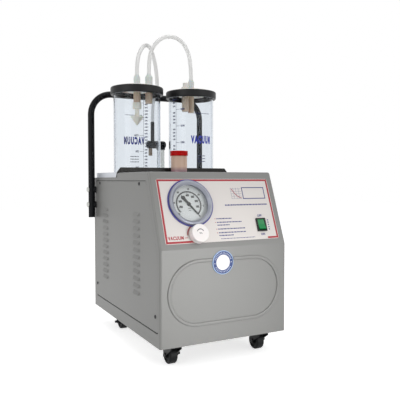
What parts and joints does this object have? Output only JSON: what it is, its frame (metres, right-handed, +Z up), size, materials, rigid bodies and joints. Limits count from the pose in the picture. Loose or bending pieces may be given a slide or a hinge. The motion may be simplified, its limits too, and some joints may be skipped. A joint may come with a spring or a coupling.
{
  "type": "vacuum aspirator",
  "caption": "Mobile vacuum aspirator: louvred sheet-metal cabinet with leaning gauge panel, rear jar bay with lidded collection jars, clear hoses, carrying handle and swivel casters.",
  "frame": {"origin": "on the floor under the middle of the overall length and width, hoses left out", "axes": "+X to the right seen from the front, +Y to the rear, +Z up"},
  "size_m": [0.37, 0.4972, 0.803],
  "materials": {
    "cabinet_paint": "textured grey powder coat",
    "zinc_steel": "bright zinc plated",
    "tray_steel": "satin stainless",
    "black_plastic": "fine grained",
    "label_print": "printed film",
    "badge_print": "printed dome",
    "gauge_metal": "grey stove enamel",
    "dial_print": "printed white",
    "gauge_glass": "clear",
    "pointer_black": "matt black",
    "brass": "machined",
    "shaft_steel": "ground",
    "knob_ivory": "moulded",
    "rocker_green": "translucent moulded",
    "handle_black": "satin black powder coat",
    "jar_clear": "clear moulded",
    "black_rubber": "matt",
    "lid_ivory": "moulded",
    "float_plastic": "moulded",
    "silicone": "translucent",
    "tube_clear": "translucent",
    "cap_red": "moulded",
    "caster_black": "black enamel",
    "wheel_rubber": "matt",
    "motor_paint": "enamelled",
    "cast_aluminium": "die cast",
    "pump_iron": "machined and enamelled",
    "vane_carbon": "ground",
    "pipe_metal": "drawn",
    "capacitor_grey": "moulded"
  },
  "bodies": {
    "cabinet": {"base_pan": "cabinet_paint", "cabinet_shell": "cabinet_paint", "side_panel_left": "cabinet_paint", "side_panel_right": "cabinet_paint", "rear_panel": "cabinet_paint", "panel_screws": "zinc_steel", "jar_tray": "tray_steel", "jar_guard": "black_plastic", "control_label": "label_print", "front_badge": "badge_print", "gauge_case": "gauge_metal", "gauge_bezel": "gauge_metal", "gauge_dial": "dial_print", "gauge_glass": "gauge_glass", "regulator_body": "brass", "switch_housing": "black_plastic", "handle_tube": "handle_black", "handle_bolts": "zinc_steel", "handle_spacers": "black_plastic", "jar_left": "jar_clear", "jar_right": "jar_clear", "lid_seal_left": "black_rubber", "lid_seal_right": "black_rubber", "lid_plate_left": "lid_ivory", "lid_plate_right": "lid_ivory", "float_guide": "lid_ivory", "hose_link": "silicone", "hose_pump": "silicone", "rear_manifold": "black_plastic", "riser_tube": "tube_clear", "trap_bottle": "tube_clear", "caster_plates": "caster_black", "motor_plate": "caster_black", "rubber_mounts": "black_rubber", "motor_housing": "motor_paint", "motor_end_bells": "cast_aluminium", "pump_body": "pump_iron", "pump_covers": "pump_iron", "suction_pipe": "pipe_metal", "exhaust_pipe": "pipe_metal", "run_capacitor": "capacitor_grey", "mains_inlet": "black_plastic"},
    "rocker": {"switch_rocker": "rocker_green"},
    "knob": {"regulator_knob": "knob_ivory"},
    "needle": {"regulator_needle": "shaft_steel"},
    "pointer": {"gauge_pointer": "pointer_black"},
    "float": {"float_valve": "float_plastic"},
    "trap_cap": {"trap_cap": "cap_red"},
    "drive": {"motor_rotor": "shaft_steel", "pump_rotor": "shaft_steel", "pump_vanes": "vane_carbon"},
    "swivel_front_left": {"fork_front_left": "caster_black"},
    "roller_front_left": {"wheel_front_left": "wheel_rubber"},
    "swivel_front_right": {"fork_front_right": "caster_black"},
    "roller_front_right": {"wheel_front_right": "wheel_rubber"},
    "swivel_rear_left": {"fork_rear_left": "caster_black"},
    "roller_rear_left": {"wheel_rear_left": "wheel_rubber"},
    "swivel_rear_right": {"fork_rear_right": "caster_black"},
    "roller_rear_right": {"wheel_rear_right": "wheel_rubber"}
  },
  "joints": [
    {"name": "switch_rock", "type": "hinge", "parent": "cabinet", "child": "rocker", "pos_m": [0.1027, -0.21556, 0.29931], "axis": [1, 0, 0], "range_deg": [0, 20]},
    {"name": "regulator_turn", "type": "hinge", "parent": "cabinet", "child": "knob", "pos_m": [-0.067, -0.22512, 0.28587], "axis": [0, -0.9312, 0.3646], "range_deg": [0, 540]},
    {"name": "needle_lift", "type": "slide", "parent": "cabinet", "child": "needle", "axis": [0, -0.9312, 0.3646], "range_m": [0, 0.003]},
    {"name": "gauge_sweep", "type": "hinge", "parent": "cabinet", "child": "pointer", "pos_m": [-0.0705, -0.1985, 0.35384], "axis": [0, -0.9312, 0.3646], "range_deg": [0, 270], "stiffness_Nm_per_rad": 0.0002},
    {"name": "float_rise", "type": "slide", "parent": "cabinet", "child": "float", "axis": [0, 0, 1], "range_m": [0, 0.0075]},
    {"name": "cap_turn", "type": "hinge", "parent": "cabinet", "child": "trap_cap", "pos_m": [0, 0.00858, 0.423], "axis": [0, 0, 1], "range_deg": [0, 360]},
    {"name": "drive_spin", "type": "hinge", "parent": "cabinet", "child": "drive", "pos_m": [0, -0.03142, 0.146], "axis": [0, 1, 0], "continuous": true},
    {"name": "swivel_front_left", "type": "hinge", "parent": "cabinet", "child": "swivel_front_left", "pos_m": [-0.1134, -0.20042, 0.043], "axis": [0, 0, 1], "continuous": true},
    {"name": "roll_front_left", "type": "hinge", "parent": "swivel_front_left", "child": "roller_front_left", "pos_m": [-0.1134, -0.18542, 0.02], "axis": [1, 0, 0], "continuous": true},
    {"name": "swivel_front_right", "type": "hinge", "parent": "cabinet", "child": "swivel_front_right", "pos_m": [0.1134, -0.20042, 0.043], "axis": [0, 0, 1], "continuous": true},
    {"name": "roll_front_right", "type": "hinge", "parent": "swivel_front_right", "child": "roller_front_right", "pos_m": [0.1134, -0.18542, 0.02], "axis": [1, 0, 0], "continuous": true},
    {"name": "swivel_rear_left", "type": "hinge", "parent": "cabinet", "child": "swivel_rear_left", "pos_m": [-0.1134, 0.14358, 0.043], "axis": [0, 0, 1], "continuous": true},
    {"name": "roll_rear_left", "type": "hinge", "parent": "swivel_rear_left", "child": "roller_rear_left", "pos_m": [-0.1134, 0.12858, 0.02], "axis": [1, 0, 0], "continuous": true},
    {"name": "swivel_rear_right", "type": "hinge", "parent": "cabinet", "child": "swivel_rear_right", "pos_m": [0.1134, 0.14358, 0.043], "axis": [0, 0, 1], "continuous": true},
    {"name": "roll_rear_right", "type": "hinge", "parent": "swivel_rear_right", "child": "roller_rear_right", "pos_m": [0.1134, 0.12858, 0.02], "axis": [1, 0, 0], "continuous": true}
  ],
  "couplings": [
    {"joint": "needle_lift", "follows": "regulator_turn", "m_per_rad": 0.000318}
  ]
}
